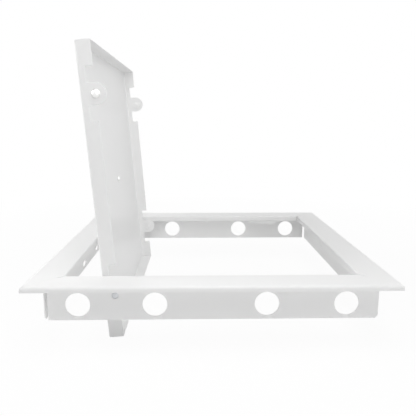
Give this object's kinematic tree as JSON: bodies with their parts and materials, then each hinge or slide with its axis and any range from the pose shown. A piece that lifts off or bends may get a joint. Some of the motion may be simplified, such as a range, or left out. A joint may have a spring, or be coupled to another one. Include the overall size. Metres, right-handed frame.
{
  "type": "ceiling access panel",
  "caption": "White ceiling access panel: a mitred flange frame with perforated skirts and a folded steel door that swings on pivot studs and snaps shut.",
  "frame": {"origin": "middle of the frame, on the plane where the flange lip meets the ceiling", "axes": "+Z out of the ceiling, into the room; +X from the hinge side to the catch side; Y along the pivots"},
  "size_m": [0.33, 0.33, 0.2671],
  "materials": {
    "painted_sheet": "white powder coat, semi-gloss",
    "zinc_steel": "zinc plated",
    "plated_stud": "bright nickel plate"
  },
  "bodies": {
    "frame": {"front_rail": "painted_sheet", "back_rail": "painted_sheet", "left_rail": "painted_sheet", "right_rail": "painted_sheet", "front_left_cleat": "zinc_steel", "front_right_cleat": "zinc_steel", "back_left_cleat": "zinc_steel", "back_right_cleat": "zinc_steel", "front_keeper": "painted_sheet", "back_keeper": "painted_sheet"},
    "door": {"door_tray": "painted_sheet", "front_hinge_stud": "zinc_steel", "back_hinge_stud": "zinc_steel", "front_hinge_washer": "painted_sheet", "back_hinge_washer": "painted_sheet", "front_catch_stud": "plated_stud", "back_catch_stud": "plated_stud", "front_catch_washer": "painted_sheet", "back_catch_washer": "painted_sheet", "centre_stud": "plated_stud"}
  },
  "joints": [
    {"name": "door_hinge", "type": "hinge", "parent": "frame", "child": "door", "pos_m": [-0.0867, 0, -0.0083], "axis": [0, -1, 0], "range_deg": [-94.3, 54]}
  ]
}
